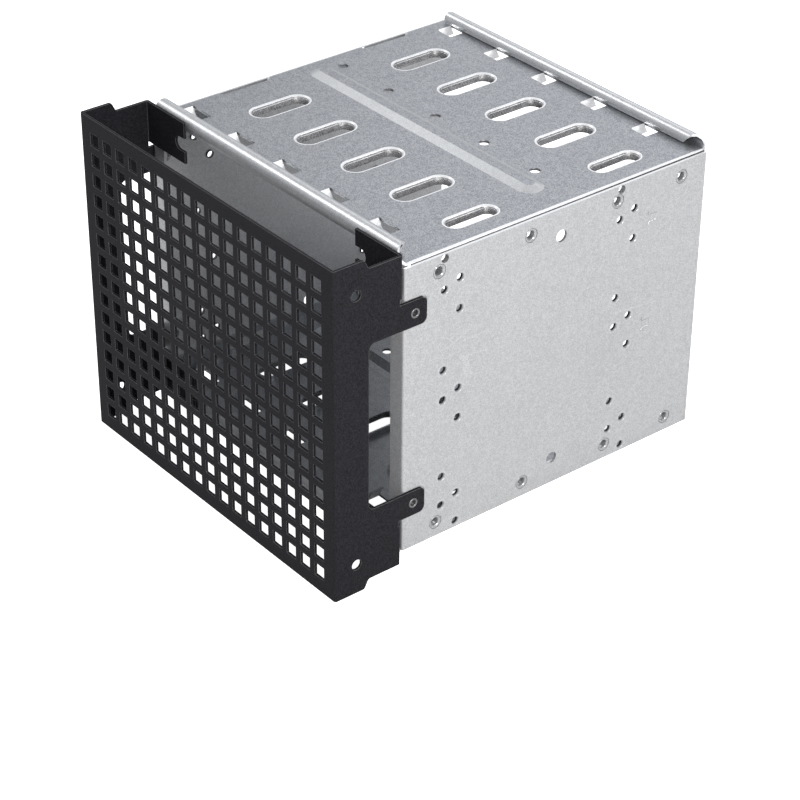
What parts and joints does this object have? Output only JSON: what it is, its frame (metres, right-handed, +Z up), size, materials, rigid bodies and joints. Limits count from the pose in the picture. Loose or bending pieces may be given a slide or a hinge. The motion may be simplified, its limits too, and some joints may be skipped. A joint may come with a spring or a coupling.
{
  "type": "hard drive cage",
  "caption": "Sheet-metal cage that holds 3.5 inch hard drives on edge in 5.25 inch bays, with a perforated front grille and room for a fan.",
  "frame": {"origin": "middle of the overall box in X and Y, at the level of its lowest point, the grille's bottom edge", "axes": "+X to the right seen from the grille, +Y to the back, away from the grille, +Z up"},
  "size_m": [0.1478, 0.1694, 0.13],
  "materials": {
    "galvanised_steel": "galvanised, fine grain, satin",
    "black_powder_coat": "matte black powder coat, fine texture",
    "rivet_steel": "zinc plated, satin"
  },
  "bodies": {
    "root": {"top_panel": "galvanised_steel", "bottom_panel": "galvanised_steel", "left_side_panel": "galvanised_steel", "right_side_panel": "galvanised_steel", "front_grille": "black_powder_coat", "rivet_left_top_1": "rivet_steel", "rivet_left_top_2": "rivet_steel", "rivet_left_top_3": "rivet_steel", "rivet_left_top_4": "rivet_steel", "rivet_left_bottom_1": "rivet_steel", "rivet_left_bottom_2": "rivet_steel", "rivet_left_bottom_3": "rivet_steel", "rivet_left_bottom_4": "rivet_steel", "rivet_right_top_1": "rivet_steel", "rivet_right_top_2": "rivet_steel", "rivet_right_top_3": "rivet_steel", "rivet_right_top_4": "rivet_steel", "rivet_right_bottom_1": "rivet_steel", "rivet_right_bottom_2": "rivet_steel", "rivet_right_bottom_3": "rivet_steel", "rivet_right_bottom_4": "rivet_steel", "grille_rivet_left_top": "rivet_steel", "grille_rivet_left_bottom": "rivet_steel", "grille_rivet_right_top": "rivet_steel", "grille_rivet_right_bottom": "rivet_steel"}
  },
  "joints": []
}
